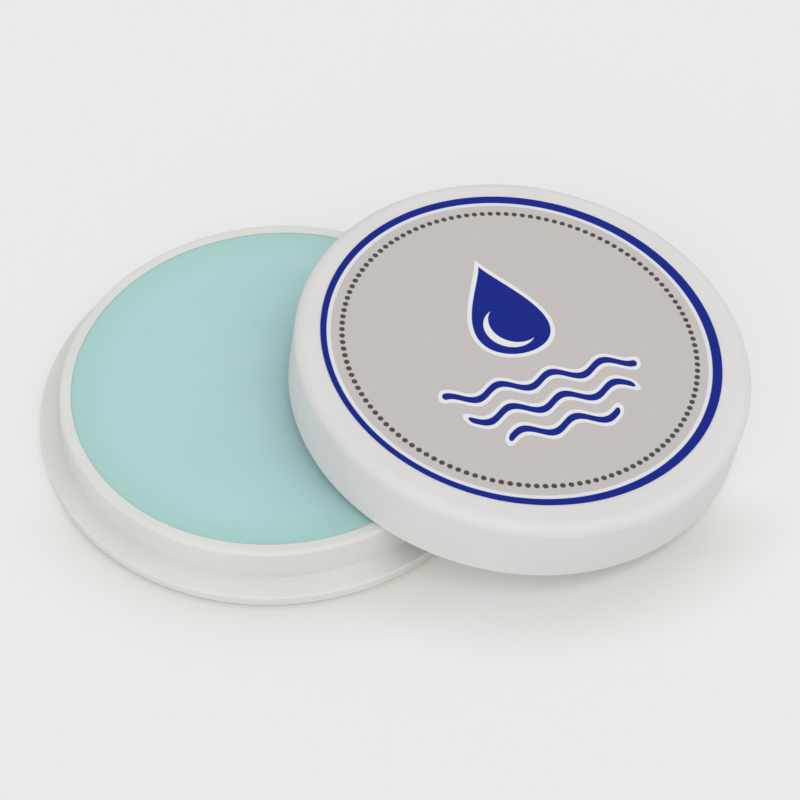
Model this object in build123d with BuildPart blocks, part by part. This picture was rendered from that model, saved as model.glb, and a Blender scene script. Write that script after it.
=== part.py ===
from build123d import *
import math
import os

# Finger moistener: a round pot of solid paste, with its push-on lid leaning on the pot's rim.
# Origin: centre of the pot's base, on the surface it stands on. +Z up, +X from the pot to the lid.

# Driving dimensions of the pot, in millimetres
neck_base_radius = 27.3
neck_taper = 0.25
flange_width = 2.7
flange_edge_height = 1.4
flange_rise = 0.45
flange_edge_bevel = 0.15
foot_edge_bevel = 0.1
pot_height = 6.2
pot_wall = 1.5
rim_outer_bevel = 0.35
rim_inner_bevel = 0.1
cavity_draft = 0.3
floor_thickness = 0.7
foot_width = 4.5
base_recess = 0.3
gate_mark_radius = 1.5
gate_mark_height = 0.15

# Driving dimensions of the paste
paste_fill_drop = 0.1
paste_wall_clearance = 0.02

# Driving dimensions of the lid
skirt_wall = 0.9
mouth_clearance = 0.2
grip_clearance = 0.05
lid_height = 8.9
lid_top_thickness = 1.2
shoulder_round = 1.5
skirt_outer_bevel = 0.3
mouth_bevel = 0.25

# Driving dimensions of the label, stuck by hand a little off the lid's centre
label_margin = 2.0
label_thickness = 0.12
label_shift_x = -0.42
label_shift_y = 0.28

# Where the lid leans
lid_offset = 29.7
lean_clearance = 0.1
floor_clearance = 0.02

# Sizes that follow from the pot's own values
rim_radius = neck_base_radius - neck_taper
flange_radius = neck_base_radius + flange_width
flange_crown = flange_edge_height + flange_rise
cavity_rim_radius = rim_radius - pot_wall
cavity_floor_radius = cavity_rim_radius - cavity_draft
floor_level = base_recess + floor_thickness
foot_inner_radius = flange_radius - foot_width
recess_radius = foot_inner_radius - base_recess
gate_mark_level = base_recess - gate_mark_height

# The paste fills the drafted cavity to just below the rim
paste_level = pot_height - paste_fill_drop
cavity_slope = cavity_draft / (pot_height - floor_level)
paste_floor_radius = cavity_floor_radius - paste_wall_clearance
paste_top_radius = paste_floor_radius + cavity_slope * (paste_level - floor_level)

# Pressed on, the lid's skirt slips over the neck until its flat edge lands on the flange,
# and its hollow narrows to grip just below the rim's bevel
mouth_radius = neck_base_radius + mouth_clearance
grip_radius = rim_radius + grip_clearance
lid_radius = mouth_radius + skirt_wall
skirt_flat_radius = mouth_radius + mouth_bevel
skirt_foot_radius = lid_radius - skirt_outer_bevel
flange_slope = flange_rise / flange_width
landing_level = flange_crown - flange_slope * (skirt_flat_radius - neck_base_radius)
grip_height = pot_height - rim_outer_bevel - landing_level
hollow_height = lid_height - lid_top_thickness
label_radius = lid_radius - shoulder_round - label_margin

# Taken off, the skirt's flat edge rests on the flat of the rim where the two rings cross,
# and the foot of its far side rests on the surface beside the pot
rim_flat_radius = rim_radius - rim_outer_bevel
crossing_x = (rim_flat_radius**2 - skirt_flat_radius**2 + lid_offset**2) / (2 * lid_offset)
lean = math.atan2(pot_height + lean_clearance, lid_offset + skirt_foot_radius - crossing_x)
mouth_level = floor_clearance + skirt_foot_radius * math.sin(lean)

# The lid's own frame: origin at the centre of its mouth, axis tipped towards +X
mouth_center = Vector(lid_offset, 0, mouth_level)
lid_up = Vector(math.sin(lean), 0, math.cos(lean))
down_slope = Vector(math.cos(lean), 0, -math.sin(lean))
across_slope = Vector(0, 1, 0)
lid_axis = Axis(mouth_center, lid_up)
lid_section_plane = Plane(mouth_center, x_dir=down_slope, z_dir=-across_slope)
label_center = mouth_center + lid_up * lid_height + down_slope * label_shift_x + across_slope * label_shift_y
label_plane = Plane(label_center, x_dir=down_slope, z_dir=lid_up)

# Pot: foot ring and flange, tapered neck, eased rim and drafted cavity, turned as one moulding
with BuildPart() as pot:
    with BuildSketch(Plane.XZ):
        with BuildLine():
            Polyline(
                (0, gate_mark_level),
                (gate_mark_radius, gate_mark_level),
                (gate_mark_radius, base_recess),
                (recess_radius, base_recess),
                (foot_inner_radius, 0),
                (flange_radius, 0),
                (flange_radius, flange_edge_height),
                (neck_base_radius, flange_crown),
                (rim_radius, pot_height),
                (cavity_rim_radius, pot_height),
                (cavity_floor_radius, floor_level),
                (0, floor_level),
                close=True,
            )
        make_face()
    revolve(axis=Axis.Z)
    chamfer(pot.edges().group_by(Axis.Z)[-1].sort_by(SortBy.RADIUS)[-1], length=rim_outer_bevel)
    chamfer(pot.edges().group_by(Axis.Z)[-1].sort_by(SortBy.RADIUS)[0], length=rim_inner_bevel)
    flange_edges = pot.edges().filter_by(GeomType.CIRCLE).sort_by(SortBy.RADIUS)[-2:]
    chamfer(flange_edges.sort_by(Axis.Z)[-1], length=flange_edge_bevel)
    chamfer(pot.edges().group_by(Axis.Z)[0].sort_by(SortBy.RADIUS)[-1], length=foot_edge_bevel)

# Paste: cast in the pot's cavity
with BuildPart() as paste:
    with BuildSketch(Plane.XZ):
        with BuildLine():
            Polyline(
                (0, floor_level),
                (paste_floor_radius, floor_level),
                (paste_top_radius, paste_level),
                (0, paste_level),
                close=True,
            )
        make_face()
    revolve(axis=Axis.Z)

# Lid: flat top, rounded shoulder, straight skirt and a hollow that narrows to grip the neck
with BuildPart() as lid:
    with BuildSketch(lid_section_plane):
        with BuildLine():
            Polyline(
                (0, lid_height),
                (lid_radius, lid_height),
                (lid_radius, 0),
                (mouth_radius, 0),
                (grip_radius, grip_height),
                (grip_radius, hollow_height),
                (0, hollow_height),
                close=True,
            )
        make_face()
    revolve(axis=lid_axis)
    fillet(lid.edges().group_by(lid_axis)[-1], radius=shoulder_round)
    chamfer(lid.edges().group_by(lid_axis)[0].sort_by(SortBy.RADIUS)[-1], length=skirt_outer_bevel)
    chamfer(lid.edges().group_by(lid_axis)[0].sort_by(SortBy.RADIUS)[0], length=mouth_bevel)

# Label: round paper disc on the lid's flat top
with BuildPart() as lid_label:
    with BuildSketch(label_plane):
        Circle(label_radius)
    extrude(amount=label_thickness)

pot.part.label = "pot"
paste.part.label = "paste"
lid.part.label = "lid"
lid_label.part.label = "lid_label"

os.makedirs("parts", exist_ok=True)
export_step(pot.part, "parts/pot.step")
export_step(paste.part, "parts/paste.step")
export_step(lid.part, "parts/lid.step")
export_step(lid_label.part, "parts/lid_label.step")
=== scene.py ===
import math

import bpy
from mathutils import Matrix, Vector, noise


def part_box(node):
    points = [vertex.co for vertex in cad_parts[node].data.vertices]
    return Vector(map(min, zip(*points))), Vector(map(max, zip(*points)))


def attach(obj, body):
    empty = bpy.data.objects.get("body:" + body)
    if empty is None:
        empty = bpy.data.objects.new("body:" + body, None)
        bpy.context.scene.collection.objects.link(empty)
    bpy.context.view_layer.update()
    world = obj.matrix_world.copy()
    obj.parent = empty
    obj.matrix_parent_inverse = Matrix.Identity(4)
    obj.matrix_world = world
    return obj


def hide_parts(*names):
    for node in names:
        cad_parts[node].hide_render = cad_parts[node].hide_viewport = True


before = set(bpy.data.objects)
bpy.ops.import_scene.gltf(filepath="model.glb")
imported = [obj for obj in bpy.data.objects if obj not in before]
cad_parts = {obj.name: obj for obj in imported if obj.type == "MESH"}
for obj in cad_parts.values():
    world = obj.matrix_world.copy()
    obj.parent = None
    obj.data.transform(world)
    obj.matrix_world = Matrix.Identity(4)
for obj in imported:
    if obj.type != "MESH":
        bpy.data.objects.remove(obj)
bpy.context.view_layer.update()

# Finger moistener: a round pot of pale aqua paste, with its labelled lid leaning on the pot's rim.
# Lengths are in millimetres, and go to metres where Blender takes them.
MM = 0.001

# Meshes: points round a turned piece, steps in a round, how far beside a round its flat is held,
# the length that counts as none, and the map that holds each point as seen from above the piece
AROUND = 288
ROUND_STEPS = 8
FLAT_HOLD = 0.05
TOLERANCE = 1e-6
FLAT_MAP = "from_above"

# Pot
NECK_BASE_RADIUS = 27.3
NECK_TAPER = 0.25
FLANGE_EDGE_HEIGHT = 1.4
FLANGE_RISE = 0.45
FLANGE_ROUND = 0.25
FOOT_ROUND = 0.15
NECK_ROOT_ROUND = 0.1
POT_WALL = 1.5
RIM_OUTER_ROUND = 0.55
RIM_INNER_ROUND = 0.12
CAVITY_DRAFT = 0.3
CAVITY_CORNER_ROUND = 0.5
FLOOR_LEVEL = 1.0
FOOT_WIDTH = 4.5
BASE_RECESS = 0.3
RECESS_ROUND = 0.2
GATE_MARK_RADIUS = 1.5
GATE_MARK_LEVEL = 0.15
GATE_MARK_ROUND = 0.06

# Paste
PASTE_WALL_GAP = 0.02
PASTE_EDGE_WIDTH = 2.4
PASTE_DISH = 0.05
PASTE_WAVE_HEIGHT = 0.02
PASTE_WAVE_LENGTH = 9.0
PASTE_CORNER_ROUND = 0.4
PASTE_EDGE_RINGS = 10
PASTE_TOP_RINGS = 26
# How the edge's rings crowd towards the wall, and the share of the radius where the painted shade at
# the wall starts
PASTE_EDGE_CROWDING = 1.5
PASTE_WALL_SHADE_START = 0.84

# Lid
SKIRT_WALL = 0.9
GRIP_CLEARANCE = 0.05
GRIP_HEIGHT = 4.075
LID_TOP_THICKNESS = 1.2
SHOULDER_ROUND = 1.5
SKIRT_OUTER_ROUND = 0.4
MOUTH_ROUND = 0.3
GRIP_ROUND = 2.0
HOLLOW_CORNER_ROUND = 0.6

# Label: its cut edge, and how steeply a normal has to rise to count as its top
LABEL_EDGE_ROUND = 0.03
LABEL_EDGE_HOLD = 0.02
FACING_UP = 0.9

# Label print, about the print's own centre, which is a little off the label's
PRINT_SHIFT = (-0.25, -0.22)
PRINT_ANGLE = 23.0
RING_INNER_RADIUS = 23.88
FIELD_RADIUS = 23.38
INK_EDGE = 0.05
KEYLINE_WIDTH = 0.55
DOT_RING_RADIUS = 22.0
DOT_RADIUS = 0.35
DOT_COUNT = 132
WAVE_TOP = -6.0
WAVE_PITCH = 3.6
WAVE_HEIGHT = 0.75
WAVE_LENGTH = 7.0
WAVE_STROKE = 1.0
WAVE_HALF_LENGTHS = (12.25, 10.5, 7.0)

# The print's drop: its half width swells as the root of the share of its height, times a power of
# what is left of it, and the swell's peak brings that to the drop's own half width
DROP_BOTTOM = -1.5
DROP_HEIGHT = 15.0
DROP_HALF_WIDTH = 4.9
DROP_TAPER = 1.3
DROP_SWELL_PEAK = 0.345
# How many margins taller a margin makes the drop, most of it at the point
DROP_MARGINS_TALLER = 3.2
SHINE_RADIUS = 3.3
SHINE_CENTRE = (-0.2, 2.9)
SHINE_CUT_CENTRE = (0.7, 3.5)

# The middle of a noise's range, which carries a colour or a roughness from one end to the other
NOISE_RANGE = (0.3, 0.7)

# Camera: where it aims on the floor, how far and from where it looks, and its lens, with the focal
# length in pixels of the image
CAMERA_AIM = (15.339, 1.987, 0.0)
CAMERA_DISTANCE = 310.468
CAMERA_AZIMUTH = -1.746
CAMERA_ELEVATION = 49.854
CAMERA_ROLL = -1.211
FOCAL_PIXELS = 2443.957
IMAGE_WIDTH = 800
SENSOR_WIDTH = 36.0
CLIP_START = 10.0

# Floor: its reach each way, how far below the pieces it lies, and how far it fades into the backdrop
FLOOR_REACH = 4000.0
FLOOR_DROP = 0.02
FLOOR_FADE = 0.45

# Contact shade on the floor: how near a piece has to be, how strong the shade gets, and where along
# Y it is full, at the front, and gone, further back
CONTACT_REACH = 12.0
CONTACT_DEPTH = 0.80
CONTACT_FULL = -22.0
CONTACT_NONE = -11.0

# Light from all round, and broad lamps: azimuth, elevation and spread in degrees, and the level to
# which each lights a level white surface
AMBIENT_LEVEL = 0.617
LAMPS = {
    "front_lamp": (190.0, 38.0, 50.0, 0.118),
    "back_right_lamp": (60.0, 58.0, 60.0, 0.110),
    "front_right_lamp": (120.0, 58.0, 60.0, 0.134),
    "front_left_lamp": (240.0, 20.0, 40.0, 0.028),
}


def srgb(red, green, blue):
    """A colour as a screen shows it, 0 to 255, as a linear colour with alpha."""
    shares = (value / 255 for value in (red, green, blue))
    linear = [s / 12.92 if s <= 0.04045 else ((s + 0.055) / 1.055) ** 2.4 for s in shares]
    return (*linear, 1.0)


# Colours
WHITE = (1.0, 1.0, 1.0, 1.0)
POT_LIGHT = srgb(219, 220, 215)
POT_DARK = srgb(215, 216, 211)
LID_LIGHT = srgb(219, 218, 217)
LID_DARK = srgb(215, 214, 213)
PASTE_LIGHT = srgb(176, 210, 212)
PASTE_DARK = srgb(172, 208, 208)
# Painted shade: a darker, greener paste colour near the wall, standing in for the sheen that the wall
# shuts off
PASTE_WALL_SHADE = srgb(166, 206, 201)
COBALT = srgb(8, 32, 132)
LINE_WHITE = srgb(219, 221, 225)
SILVER_LIGHT = srgb(198, 192, 190)
SILVER_DARK = srgb(191, 185, 183)
DOT_GREY = srgb(74, 72, 70)
PRINT_WHITE = srgb(226, 227, 228)
BACKDROP = srgb(235, 235, 235)
CONTACT_SHADE = srgb(143, 131, 76)

# Sizes read from the frame
pot_box = [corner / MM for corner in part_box("pot")]
paste_box = [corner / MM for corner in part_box("paste")]
FLANGE_RADIUS = pot_box[1].x
POT_HEIGHT = pot_box[1].z
PASTE_RADIUS = paste_box[1].x
PASTE_LEVEL = paste_box[1].z


def lid_axes():
    """Down the lid's slope, across it and up its axis, from the largest flat of the label."""
    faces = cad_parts["lid_label"].data.polygons
    upward = [face for face in faces if face.normal.z > FACING_UP]
    up = max(upward, key=lambda face: face.area).normal.normalized()
    across = Vector((0, 1, 0))
    return across.cross(up).normalized(), across, up


def extents(node, axes):
    """Lowest and highest reach of a node along each axis, in millimetres."""
    points = [vertex.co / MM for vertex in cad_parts[node].data.vertices]
    reaches = [[point.dot(axis) for point in points] for axis in axes]
    return [(min(reach), max(reach)) for reach in reaches]


def placed(axes, origin):
    """World matrix of a frame with those axes and that origin in millimetres."""
    turn = Matrix([list(axis) for axis in axes]).transposed().to_4x4()
    return Matrix.Translation(origin * MM) @ turn


slope_axes = lid_axes()
lid_reach = extents("lid", slope_axes)
label_reach = extents("lid_label", slope_axes)
LID_RADIUS = (lid_reach[0][1] - lid_reach[0][0]) / 2
LID_HEIGHT = lid_reach[2][1] - lid_reach[2][0]
LABEL_RADIUS = (label_reach[0][1] - label_reach[0][0]) / 2
LABEL_THICKNESS = label_reach[2][1] - label_reach[2][0]


def spot(reach, level):
    """World point midway in a reach along the slope and across it, at a level up the axis."""
    along, across, up = slope_axes
    return along * (sum(reach[0]) / 2) + across * (sum(reach[1]) / 2) + up * level


lid_matrix = placed(slope_axes, spot(lid_reach, lid_reach[2][0]))
label_matrix = placed(slope_axes, spot(label_reach, label_reach[2][0]))


def rounded(corners, hold=FLAT_HOLD):
    """Outline through corners (radius, height, round), with each round drawn as an arc.
    A held point just outside each arc keeps the shading of the flats beside it flat."""
    outline = []
    for index, (radius, height, round_radius) in enumerate(corners):
        corner = Vector((radius, height))
        if round_radius == 0:
            outline.append(corner)
            continue
        before = (Vector(corners[index - 1][:2]) - corner).normalized()
        after = (Vector(corners[index + 1][:2]) - corner).normalized()
        half = math.acos(max(-1.0, min(1.0, before.dot(after)))) / 2
        reach = round_radius / math.tan(half)
        middle = corner + (before + after).normalized() * (round_radius / math.sin(half))
        start = corner + before * reach - middle
        sweep = start.angle_signed(corner + after * reach - middle)
        outline.append(corner + before * (reach + hold))
        for step in range(ROUND_STEPS + 1):
            turn = Matrix.Rotation(-sweep * step / ROUND_STEPS, 2)
            outline.append(middle + turn @ start)
        outline.append(corner + after * (reach + hold))
    return outline


def turned(name, outline, matrix=Matrix.Identity(4), lift=None):
    """Mesh of an outline turned about Z and placed by a matrix. lift(point) moves its points first."""
    vertices, faces, rings = [], [], []
    for radius, height in outline:
        count = 1 if radius < TOLERANCE else AROUND
        rings.append(range(len(vertices), len(vertices) + count))
        for index in range(count):
            angle = 2 * math.pi * index / AROUND
            x, y = radius * math.cos(angle), radius * math.sin(angle)
            vertices.append(Vector((x, y, height)))
    for lower, upper in zip(rings, rings[1:]):
        for index in range(AROUND):
            following = (index + 1) % AROUND
            corners = (
                lower[index % len(lower)],
                lower[following % len(lower)],
                upper[following % len(upper)],
                upper[index % len(upper)],
            )
            faces.append(tuple(dict.fromkeys(corners)))
    moved = [lift(point) if lift else point for point in vertices]
    mesh = bpy.data.meshes.new(name)
    mesh.from_pydata([matrix @ (point * MM) for point in moved], [], faces)
    flat = mesh.uv_layers.new(name=FLAT_MAP)
    for corner in mesh.loops:
        flat.uv[corner.index].vector = moved[corner.vertex_index].to_2d()
    mesh.shade_smooth()
    return mesh


def add_piece(mesh, material, body, node):
    """Puts a mesh in the scene in place of a node of the frame."""
    piece = bpy.data.objects.new(mesh.name, mesh)
    bpy.context.scene.collection.objects.link(piece)
    mesh.materials.append(material)
    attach(piece, body)
    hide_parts(node)


class Graph:
    """A material's nodes. A value is a number, a colour or the output of another node."""

    # Where a Mix node that mixes colours has its factor and two colours, and its result
    MIX_INPUTS = (0, 6, 7)
    MIX_OUTPUT = 2

    def __init__(self, name):
        self.material = bpy.data.materials.new(name)
        self.material.use_nodes = True
        self.tree = self.material.node_tree
        self.shader = self.tree.nodes["Principled BSDF"]
        self.place = self.tree.nodes.new("ShaderNodeTexCoord").outputs["Object"]

    def feed(self, socket, value):
        """Links a socket to another node's output, or sets it to a number or a colour."""
        if isinstance(value, bpy.types.NodeSocket):
            self.tree.links.new(value, socket)
        else:
            socket.default_value = value

    def set(self, **values):
        """Sets the shader's own sockets, named with underscores for spaces."""
        for name, value in values.items():
            self.feed(self.shader.inputs[name.replace("_", " ")], value)

    def math(self, operation, *values):
        """Result of one operation on one value or more."""
        node = self.tree.nodes.new("ShaderNodeMath")
        node.operation = operation
        for socket, value in zip(node.inputs, values):
            self.feed(socket, value)
        return node.outputs[0]

    def length(self, x, y):
        """Length of a flat vector."""
        squares = [self.math("MULTIPLY", part, part) for part in (x, y)]
        return self.math("SQRT", self.math("ADD", *squares))

    def spread(self, value, low, high, to_low=0.0, to_high=1.0):
        """Maps low and high to to_low and to_high, with a smooth run between and level ends."""
        node = self.tree.nodes.new("ShaderNodeMapRange")
        node.interpolation_type = "SMOOTHSTEP"
        for socket, item in zip(node.inputs, (value, low, high, to_low, to_high)):
            self.feed(socket, item)
        return node.outputs[0]

    def below(self, value, limit):
        """1 where value is below limit and 0 above it."""
        return self.spread(value, limit - INK_EDGE, limit + INK_EDGE, 1.0, 0.0)

    def mix(self, factor, first, second):
        """The first colour at a factor of 0, and the second at 1."""
        node = self.tree.nodes.new("ShaderNodeMix")
        node.data_type = "RGBA"
        for place, value in zip(self.MIX_INPUTS, (factor, first, second)):
            self.feed(node.inputs[place], value)
        return node.outputs[self.MIX_OUTPUT]

    def noise(self, size, detail=2.0, stretch=(1, 1, 1)):
        """Noise whose features are about size millimetres."""
        mapping = self.tree.nodes.new("ShaderNodeMapping")
        self.feed(mapping.inputs["Vector"], self.place)
        mapping.inputs["Scale"].default_value = [1 / (size * MM * axis) for axis in stretch]
        node = self.tree.nodes.new("ShaderNodeTexNoise")
        self.feed(node.inputs["Vector"], mapping.outputs[0])
        node.inputs["Scale"].default_value = 1.0
        node.inputs["Detail"].default_value = detail
        return node.outputs[0]

    def bump(self, height, depth, normal=None):
        """Normal of a height from 0 to 1 that is depth millimetres deep."""
        node = self.tree.nodes.new("ShaderNodeBump")
        node.inputs["Distance"].default_value = depth * MM
        self.feed(node.inputs["Height"], height)
        if normal:
            self.feed(node.inputs["Normal"], normal)
        return node.outputs[0]


def white_plastic(name, light, dark):
    """Satin white moulded plastic, with a fine spark-eroded grain and faint flow marks."""
    graph = Graph(name)
    clouds = graph.noise(size=14.0, detail=3.0)
    flow = graph.noise(size=5.0, detail=3.0, stretch=(1, 1, 0.3))
    grain = graph.noise(size=0.12)
    tint = graph.spread(clouds, *NOISE_RANGE)
    flow_marks = graph.bump(flow, depth=0.012)
    graph.set(
        Base_Color=graph.mix(tint, light, dark),
        Roughness=graph.spread(flow, *NOISE_RANGE, to_low=0.40, to_high=0.50),
        IOR=1.47,
        Subsurface_Weight=0.1,
        Subsurface_Radius=(1.0, 1.0, 0.95),
        Subsurface_Scale=0.8 * MM,
        Normal=graph.bump(grain, depth=0.002, normal=flow_marks),
    )
    return graph.material


def aqua_paste():
    """Smooth waxy paste, a little cloudy, with a darker, greener painted shade towards the wall."""
    graph = Graph("aqua_paste")
    clouds = graph.noise(size=11.0, detail=3.0)
    smear = graph.noise(size=3.0, stretch=(1, 2.5, 1))
    grain = graph.noise(size=0.25)
    away = graph.tree.nodes.new("ShaderNodeVectorMath")
    away.operation = "LENGTH"
    graph.feed(away.inputs[0], graph.place)
    wall = PASTE_RADIUS * MM
    # Painted shade: the paste's colour turns darker and greener towards the wall
    wall_shade = graph.spread(away.outputs["Value"], PASTE_WALL_SHADE_START * wall, wall)
    body = graph.mix(graph.spread(clouds, *NOISE_RANGE), PASTE_LIGHT, PASTE_DARK)
    smear_marks = graph.bump(smear, depth=0.010)
    graph.set(
        Base_Color=graph.mix(wall_shade, body, PASTE_WALL_SHADE),
        Roughness=graph.spread(smear, *NOISE_RANGE, to_low=0.42, to_high=0.56),
        IOR=1.42,
        Subsurface_Weight=0.25,
        Subsurface_Radius=(0.8, 1.3, 1.2),
        Subsurface_Scale=1.5 * MM,
        Normal=graph.bump(grain, depth=0.002, normal=smear_marks),
    )
    return graph.material


def printed_label():
    """Silver-grey label with a cobalt border, a drop and three waves."""
    graph = Graph("printed_label")
    disc = graph.tree.nodes.new("ShaderNodeUVMap")
    disc.uv_map = FLAT_MAP
    flat = graph.tree.nodes.new("ShaderNodeMapping")
    flat.vector_type = "TEXTURE"
    graph.feed(flat.inputs["Vector"], disc.outputs[0])
    flat.inputs["Location"].default_value = (*PRINT_SHIFT, 0)
    flat.inputs["Rotation"].default_value = (0, 0, math.radians(PRINT_ANGLE))
    split = graph.tree.nodes.new("ShaderNodeSeparateXYZ")
    graph.feed(split.inputs[0], flat.outputs[0])
    x, y = split.outputs[0], split.outputs[1]
    away = graph.length(x, y)

    flecks = graph.spread(graph.noise(size=0.16), *NOISE_RANGE)
    silver = graph.mix(flecks, SILVER_LIGHT, SILVER_DARK)
    colour = graph.mix(graph.below(away, RING_INNER_RADIUS), COBALT, LINE_WHITE)
    colour = graph.mix(graph.below(away, FIELD_RADIUS), colour, silver)

    colour = graph.mix(dotted_ring(graph, x, y, away), colour, DOT_GREY)
    for margin, ink in ((KEYLINE_WIDTH, PRINT_WHITE), (0.0, COBALT)):
        colour = graph.mix(drop(graph, x, y, margin), colour, ink)
        for wave in range(len(WAVE_HALF_LENGTHS)):
            colour = graph.mix(wave_line(graph, x, y, wave, margin), colour, ink)
    colour = graph.mix(drop_shine(graph, x, y), colour, PRINT_WHITE)

    fibre = graph.noise(size=0.3, detail=3.0)
    graph.set(
        Base_Color=colour,
        Roughness=graph.spread(fibre, *NOISE_RANGE, to_low=0.42, to_high=0.54),
        Specular_IOR_Level=0.12,
        Normal=graph.bump(fibre, depth=0.003),
    )
    return graph.material


def dotted_ring(graph, x, y, away):
    """A ring of small dots inside the border."""
    turn = graph.math("MULTIPLY", graph.math("ARCTAN2", y, x), DOT_COUNT / (2 * math.pi))
    off_dot = graph.math("SUBTRACT", turn, graph.math("ROUND", turn))
    along = graph.math("MULTIPLY", off_dot, 2 * math.pi * DOT_RING_RADIUS / DOT_COUNT)
    outward = graph.math("SUBTRACT", away, DOT_RING_RADIUS)
    return graph.below(graph.length(along, outward), DOT_RADIUS)


def drop(graph, x, y, margin):
    """A water drop, round below and drawn to a point above, with a margin round it."""
    height = DROP_HEIGHT + DROP_MARGINS_TALLER * margin
    share = graph.math("DIVIDE", graph.math("SUBTRACT", y, DROP_BOTTOM - margin), height)
    share = graph.math("MINIMUM", graph.math("MAXIMUM", share, 0.0), 1.0)
    taper = graph.math("POWER", graph.math("SUBTRACT", 1.0, share), DROP_TAPER)
    swell = graph.math("MULTIPLY", graph.math("SQRT", share), taper)
    half_width = graph.math("MULTIPLY", swell, (DROP_HALF_WIDTH + margin) / DROP_SWELL_PEAK)
    past_side = graph.math("SUBTRACT", graph.math("ABSOLUTE", x), half_width)
    return graph.below(past_side, -INK_EDGE)


def drop_shine(graph, x, y):
    """A bright crescent inside the drop: one disc less another."""
    def disc(centre_x, centre_y):
        along = graph.math("SUBTRACT", x, centre_x)
        up = graph.math("SUBTRACT", y, centre_y)
        return graph.below(graph.length(along, up), SHINE_RADIUS)

    crescent = graph.math("SUBTRACT", disc(*SHINE_CENTRE), disc(*SHINE_CUT_CENTRE))
    return graph.math("MAXIMUM", crescent, 0.0)


def wave_line(graph, x, y, wave, margin):
    """One wavy stroke, with a margin round it."""
    swing = graph.math("SINE", graph.math("MULTIPLY", x, 2 * math.pi / WAVE_LENGTH))
    middle = graph.math("MULTIPLY_ADD", swing, WAVE_HEIGHT, WAVE_TOP - wave * WAVE_PITCH)
    offset = graph.math("SUBTRACT", y, middle)
    past_end = graph.math("SUBTRACT", graph.math("ABSOLUTE", x), WAVE_HALF_LENGTHS[wave])
    past_end = graph.math("MAXIMUM", past_end, 0.0)
    return graph.below(graph.length(offset, past_end), WAVE_STROKE / 2 + margin)


def pot_mesh():
    """Pot: foot ring and flange, tapered neck, rounded rim and drafted cavity."""
    rim_radius = NECK_BASE_RADIUS - NECK_TAPER
    cavity_radius = rim_radius - POT_WALL
    foot_radius = FLANGE_RADIUS - FOOT_WIDTH
    return turned("pot_shell", rounded([
        (0, GATE_MARK_LEVEL, 0),
        (GATE_MARK_RADIUS, GATE_MARK_LEVEL, GATE_MARK_ROUND),
        (GATE_MARK_RADIUS, BASE_RECESS, 0),
        (foot_radius - BASE_RECESS, BASE_RECESS, RECESS_ROUND),
        (foot_radius, 0, RECESS_ROUND),
        (FLANGE_RADIUS, 0, FOOT_ROUND),
        (FLANGE_RADIUS, FLANGE_EDGE_HEIGHT, FLANGE_ROUND),
        (NECK_BASE_RADIUS, FLANGE_EDGE_HEIGHT + FLANGE_RISE, NECK_ROOT_ROUND),
        (rim_radius, POT_HEIGHT, RIM_OUTER_ROUND),
        (cavity_radius, POT_HEIGHT, RIM_INNER_ROUND),
        (cavity_radius - CAVITY_DRAFT, FLOOR_LEVEL, CAVITY_CORNER_ROUND),
        (0, FLOOR_LEVEL, 0),
    ]))


def paste_mesh():
    """Paste: its top clings to the wall, dips inside its edge and waves slightly, as it set."""
    floor_radius = PASTE_RADIUS - CAVITY_DRAFT
    top_radius = PASTE_RADIUS + PASTE_WALL_GAP
    outline = rounded([
        (0, FLOOR_LEVEL, 0),
        (floor_radius, FLOOR_LEVEL, PASTE_CORNER_ROUND),
        (top_radius, PASTE_LEVEL, 0),
    ])
    for step in range(1, PASTE_EDGE_RINGS + 1):
        share = (step / PASTE_EDGE_RINGS) ** PASTE_EDGE_CROWDING
        outline.append(Vector((top_radius - PASTE_EDGE_WIDTH * share, PASTE_LEVEL)))
    for step in range(1, PASTE_TOP_RINGS + 1):
        share = 1 - step / PASTE_TOP_RINGS
        outline.append(Vector(((top_radius - PASTE_EDGE_WIDTH) * share, PASTE_LEVEL)))

    def settle(point):
        """Moves the points of the top by its dip and its waves."""
        if point.z < PASTE_LEVEL - TOLERANCE:
            return point
        share = min(1.0, (top_radius - point.to_2d().length) / PASTE_EDGE_WIDTH)
        dip = PASTE_DISH * (1 - (1 - share) ** 2)
        wave = PASTE_WAVE_HEIGHT * share * noise.noise(point / PASTE_WAVE_LENGTH)
        return point + Vector((0, 0, wave - dip))

    return turned("paste_fill", outline, lift=settle)


def lid_mesh():
    """Lid: hollow that narrows to its grip, flat edge, straight skirt and rounded shoulder."""
    mouth_radius = LID_RADIUS - SKIRT_WALL
    grip_radius = NECK_BASE_RADIUS - NECK_TAPER + GRIP_CLEARANCE
    hollow_height = LID_HEIGHT - LID_TOP_THICKNESS
    return turned("lid_shell", rounded([
        (0, hollow_height, 0),
        (grip_radius, hollow_height, HOLLOW_CORNER_ROUND),
        (grip_radius, GRIP_HEIGHT, GRIP_ROUND),
        (mouth_radius, 0, MOUTH_ROUND),
        (LID_RADIUS, 0, SKIRT_OUTER_ROUND),
        (LID_RADIUS, LID_HEIGHT, SHOULDER_ROUND),
        (0, LID_HEIGHT, 0),
    ]), lid_matrix)


def label_mesh():
    """Label: a thin paper disc with a softly cut edge."""
    return turned("label_disc", rounded([
        (0, 0, 0),
        (LABEL_RADIUS, 0, 0),
        (LABEL_RADIUS, LABEL_THICKNESS, LABEL_EDGE_ROUND),
        (0, LABEL_THICKNESS, 0),
    ], hold=LABEL_EDGE_HOLD), label_matrix)


def make_pieces():
    """The four pieces, each in place of its node."""
    pot_white = white_plastic("pot_white", POT_LIGHT, POT_DARK)
    lid_white = white_plastic("lid_white", LID_LIGHT, LID_DARK)
    add_piece(pot_mesh(), pot_white, "pot_body", "pot")
    add_piece(paste_mesh(), aqua_paste(), "pot_body", "paste")
    add_piece(lid_mesh(), lid_white, "lid_body", "lid")
    add_piece(label_mesh(), printed_label(), "lid_body", "lid_label")


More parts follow.
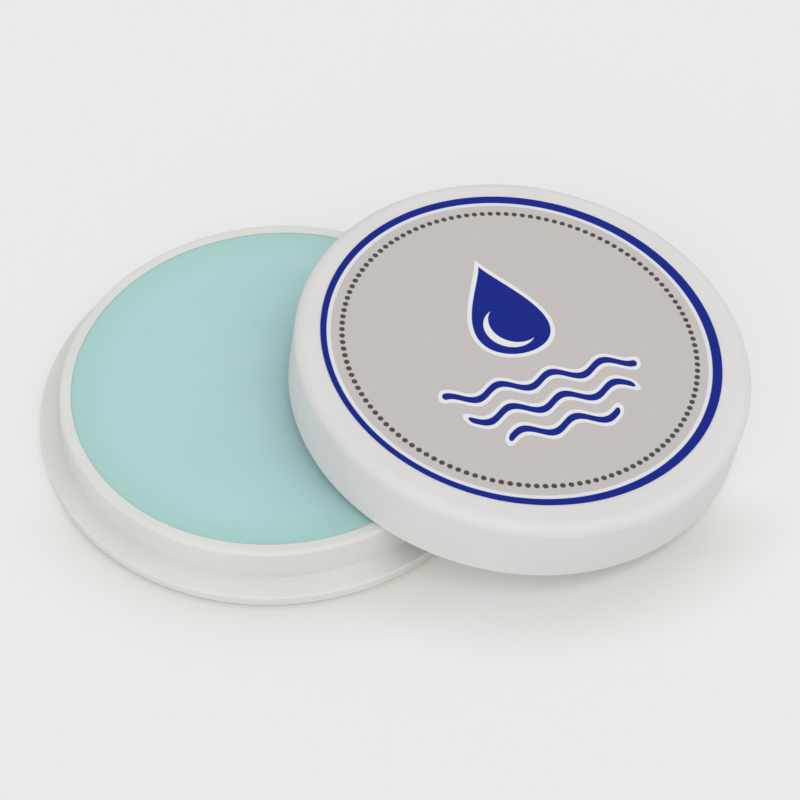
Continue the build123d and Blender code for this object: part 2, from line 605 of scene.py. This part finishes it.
def seen_directly(tree):
    """1 for what the camera, a reflection or a clear piece sees, and 0 for what lights a surface."""
    path = tree.nodes.new("ShaderNodeLightPath")
    seen = path.outputs["Is Camera Ray"]
    for ray in ("Is Glossy Ray", "Is Transmission Ray"):
        either = tree.nodes.new("ShaderNodeMath")
        either.operation = "MAXIMUM"
        tree.links.new(seen, either.inputs[0])
        tree.links.new(path.outputs[ray], either.inputs[1])
        seen = either.outputs[0]
    return seen


def pale_floor():
    """Matt floor that fades partly into the backdrop, with a warm shade at the front of the pieces."""
    graph = Graph("floor_white")
    tree = graph.tree
    seen = seen_directly(tree)
    split = tree.nodes.new("ShaderNodeSeparateXYZ")
    graph.feed(split.inputs[0], graph.place)
    open_sky = tree.nodes.new("ShaderNodeAmbientOcclusion")
    open_sky.inputs["Distance"].default_value = CONTACT_REACH * MM
    closed = graph.math("SUBTRACT", 1.0, open_sky.outputs["AO"])
    full, none = CONTACT_FULL * MM, CONTACT_NONE * MM
    depth = graph.spread(split.outputs["Y"], full, none, to_low=CONTACT_DEPTH, to_high=0.0)
    contact = graph.math("MULTIPLY", seen, graph.math("MULTIPLY", closed, depth))
    colour = graph.mix(contact, BACKDROP, CONTACT_SHADE)
    graph.set(Base_Color=colour, Roughness=1.0, Specular_IOR_Level=0.0)
    backdrop = tree.nodes.new("ShaderNodeEmission")
    graph.feed(backdrop.inputs["Color"], colour)
    blend = tree.nodes.new("ShaderNodeMixShader")
    graph.feed(blend.inputs[0], graph.math("MULTIPLY", seen, FLOOR_FADE))
    graph.feed(blend.inputs[1], graph.shader.outputs[0])
    graph.feed(blend.inputs[2], backdrop.outputs[0])
    graph.feed(tree.nodes["Material Output"].inputs["Surface"], blend.outputs[0])
    return graph.material


def make_floor():
    """A wide pale floor that the object stands on."""
    reach = FLOOR_REACH * MM
    level = -FLOOR_DROP * MM
    corners = [(-reach, -reach), (reach, -reach), (reach, reach), (-reach, reach)]
    mesh = bpy.data.meshes.new("floor")
    mesh.from_pydata([(x, y, level) for x, y in corners], [], [(0, 1, 2, 3)])
    mesh.materials.append(pale_floor())
    floor = bpy.data.objects.new("floor", mesh)
    bpy.context.scene.collection.objects.link(floor)


def make_world():
    """Soft white light from all round, and the backdrop where it is seen directly."""
    scene = bpy.context.scene
    scene.world = bpy.data.worlds.new("studio")
    scene.world.use_nodes = True
    tree = scene.world.node_tree
    background = tree.nodes["Background"]
    background.inputs["Color"].default_value = WHITE
    background.inputs["Strength"].default_value = AMBIENT_LEVEL
    backdrop = tree.nodes.new("ShaderNodeBackground")
    backdrop.inputs["Color"].default_value = BACKDROP
    choose = tree.nodes.new("ShaderNodeMixShader")
    tree.links.new(seen_directly(tree), choose.inputs[0])
    tree.links.new(background.outputs[0], choose.inputs[1])
    tree.links.new(backdrop.outputs[0], choose.inputs[2])
    tree.links.new(choose.outputs[0], tree.nodes["World Output"].inputs["Surface"])


def make_lamps():
    """Broad lamps, which with the light from all round make a level white surface white."""
    for name, (azimuth, elevation, spread, level) in LAMPS.items():
        around = math.radians(azimuth)
        rise = math.radians(elevation)
        lamp = bpy.data.lights.new(name, "SUN")
        lamp.angle = math.radians(spread)
        lamp.energy = level * math.pi / math.sin(rise)
        placed_lamp = bpy.data.objects.new(name, lamp)
        bpy.context.scene.collection.objects.link(placed_lamp)
        flat = math.cos(rise)
        towards = Vector((math.sin(around) * flat, math.cos(around) * flat, math.sin(rise)))
        placed_lamp.rotation_euler = towards.to_track_quat("Z", "Y").to_euler()


def make_camera():
    """The photograph's view."""
    azimuth = math.radians(CAMERA_AZIMUTH)
    elevation = math.radians(CAMERA_ELEVATION)
    roll = math.radians(CAMERA_ROLL)
    flat = math.cos(elevation)
    forward = Vector((math.sin(azimuth) * flat, math.cos(azimuth) * flat, -math.sin(elevation)))
    flat_right = Vector((math.cos(azimuth), -math.sin(azimuth), 0))
    flat_up = flat_right.cross(forward)
    right = flat_right * math.cos(roll) + flat_up * math.sin(roll)
    up = flat_up * math.cos(roll) - flat_right * math.sin(roll)
    lens = bpy.data.cameras.new("camera")
    lens.sensor_width = SENSOR_WIDTH
    lens.lens = FOCAL_PIXELS * SENSOR_WIDTH / IMAGE_WIDTH
    lens.clip_start = CLIP_START * MM
    camera = bpy.data.objects.new("camera", lens)
    bpy.context.scene.collection.objects.link(camera)
    stand = Vector(CAMERA_AIM) - forward * CAMERA_DISTANCE
    camera.matrix_world = placed((right, up, -forward), stand)
    bpy.context.scene.camera = camera


make_pieces()
make_floor()
make_world()
make_lamps()
make_camera()
bpy.context.scene.view_settings.view_transform = "Standard"

bpy.context.view_layer.update()
